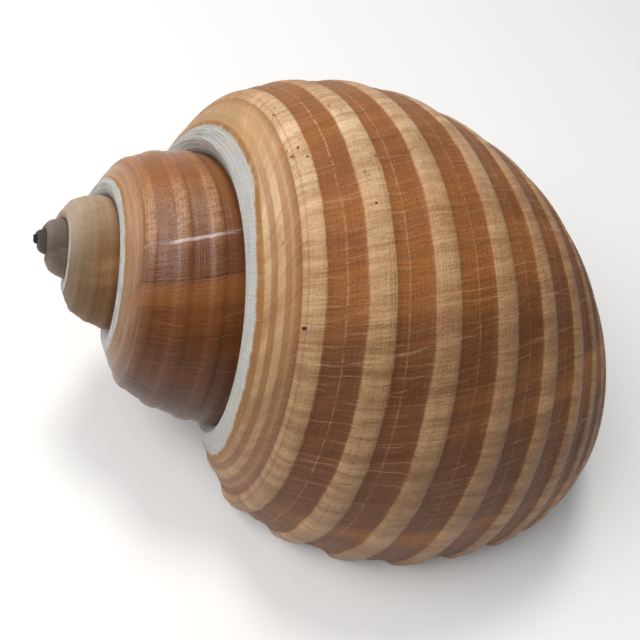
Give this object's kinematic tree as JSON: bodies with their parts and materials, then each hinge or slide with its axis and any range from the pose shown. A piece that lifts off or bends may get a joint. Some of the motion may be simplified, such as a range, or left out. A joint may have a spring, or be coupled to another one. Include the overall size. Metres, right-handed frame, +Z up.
{
  "type": "tun shell",
  "caption": "Large inflated sea-snail shell with broad flat spiral ribs, a short pointed spire and a wide opening, lying on its opening.",
  "frame": {"origin": "on the ground below the middle of the shell as it lies on its opening", "axes": "+Z up, coiling axis in the XZ plane with the apex towards -X and slightly raised, base towards +X"},
  "size_m": [0.1626, 0.1218, 0.0983],
  "materials": {
    "shell": "natural shell, satin with soft gloss on the early whorls"
  },
  "bodies": {
    "root": {"tun_shell": "shell"}
  },
  "joints": []
}
